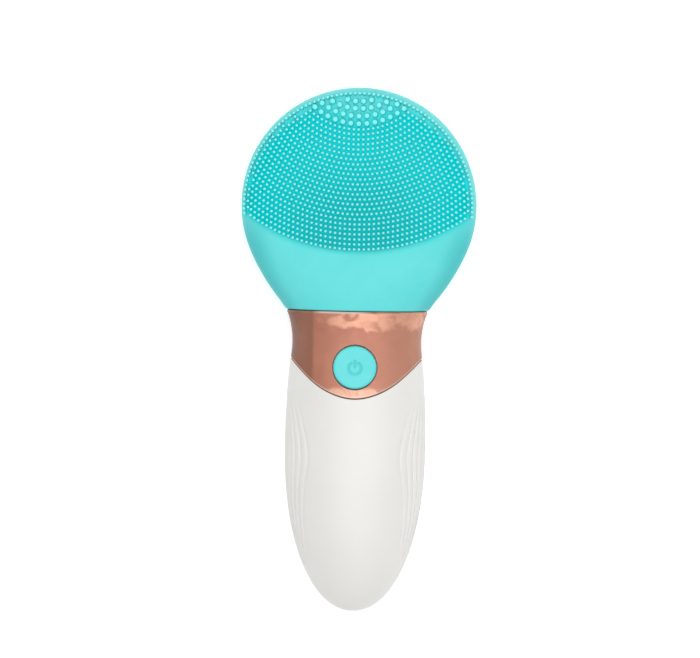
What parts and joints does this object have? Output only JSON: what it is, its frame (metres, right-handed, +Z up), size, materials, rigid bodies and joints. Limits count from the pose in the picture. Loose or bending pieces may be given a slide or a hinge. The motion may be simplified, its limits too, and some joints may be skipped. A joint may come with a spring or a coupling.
{
  "type": "facial cleansing brush",
  "caption": "Sonic facial cleansing brush: white egg-shaped grip, rose-gold plated collar with a push button, round silicone head with fine and thick bristles.",
  "frame": {"origin": "on the surface the brush lies on, under the middle of its length", "axes": "+Z up, out of the bristles and the button; +Y along the brush from the grip towards the head; +X to the right"},
  "size_m": [0.072, 0.16, 0.0308],
  "materials": {
    "silicone": "satin",
    "rose_gold": "satin plated",
    "white_shell": "satin",
    "button_silicone": "matte",
    "seal_rubber": "matte",
    "frame_plastic": "moulded",
    "carrier_plastic": "moulded",
    "screw_steel": "zinc plated",
    "can_steel": "drawn",
    "shaft_steel": "ground",
    "bush_bronze": "sintered",
    "magnet": "sintered",
    "contact_copper": "sprung",
    "lamination_steel": "laminated",
    "winding_copper": "enamelled",
    "weight_metal": "sintered",
    "cell_wrap": "shrink wrap",
    "foam": "foam",
    "board_green": "solder mask",
    "chip_black": "moulded",
    "ceramic": "ceramic",
    "led_lens": "clear",
    "switch_black": "moulded",
    "lead_red": "insulation",
    "lead_black": "insulation",
    "pin_gold": "gold plated"
  },
  "bodies": {
    "brush": {"silicone_head_cover": "silicone", "collar_ring": "rose_gold", "handle_shell": "white_shell", "button_seal": "seal_rubber", "head_frame_rear": "frame_plastic", "head_frame_front": "frame_plastic", "frame_screws": "screw_steel", "neck_o_ring": "seal_rubber", "lead_grommet": "seal_rubber", "motor_can": "can_steel", "motor_end_cap": "carrier_plastic", "motor_bushes": "bush_bronze", "motor_magnets": "magnet", "motor_brushes": "contact_copper", "motor_terminals": "contact_copper", "motor_sleeve": "seal_rubber", "motor_clamp": "frame_plastic", "clamp_screws": "screw_steel", "battery_carrier": "carrier_plastic", "carrier_screws": "screw_steel", "battery_cell": "cell_wrap", "battery_foam_pad": "foam", "circuit_board": "board_green", "board_screws": "screw_steel", "switch_body": "switch_black", "control_chip": "chip_black", "charge_chip": "chip_black", "board_capacitors": "ceramic", "indicator_led": "led_lens", "motor_leads": "lead_red", "battery_leads": "lead_red", "charging_pad": "carrier_plastic", "charging_pins": "pin_gold", "charging_magnets": "magnet", "charge_leads": "lead_black"},
    "button": {"power_button": "button_silicone"},
    "plunger": {"switch_plunger": "switch_black"},
    "rotor": {"motor_shaft": "shaft_steel", "armature_core": "lamination_steel", "armature_windings": "winding_copper", "commutator": "contact_copper", "eccentric_weight": "weight_metal"}
  },
  "joints": [
    {"name": "button_press", "type": "slide", "parent": "brush", "child": "button", "axis": [0, 0, -1], "range_m": [0, 0.0005], "stiffness_N_per_m": 3000},
    {"name": "plunger_press", "type": "slide", "parent": "brush", "child": "plunger", "axis": [0, 0, -1], "range_m": [0, 0.0005]},
    {"name": "motor_spin", "type": "hinge", "parent": "brush", "child": "rotor", "pos_m": [0, 0.04, 0.0141], "axis": [0, 1, 0], "continuous": true}
  ],
  "couplings": [
    {"joint": "plunger_press", "follows": "button_press", "ratio": 1}
  ]
}
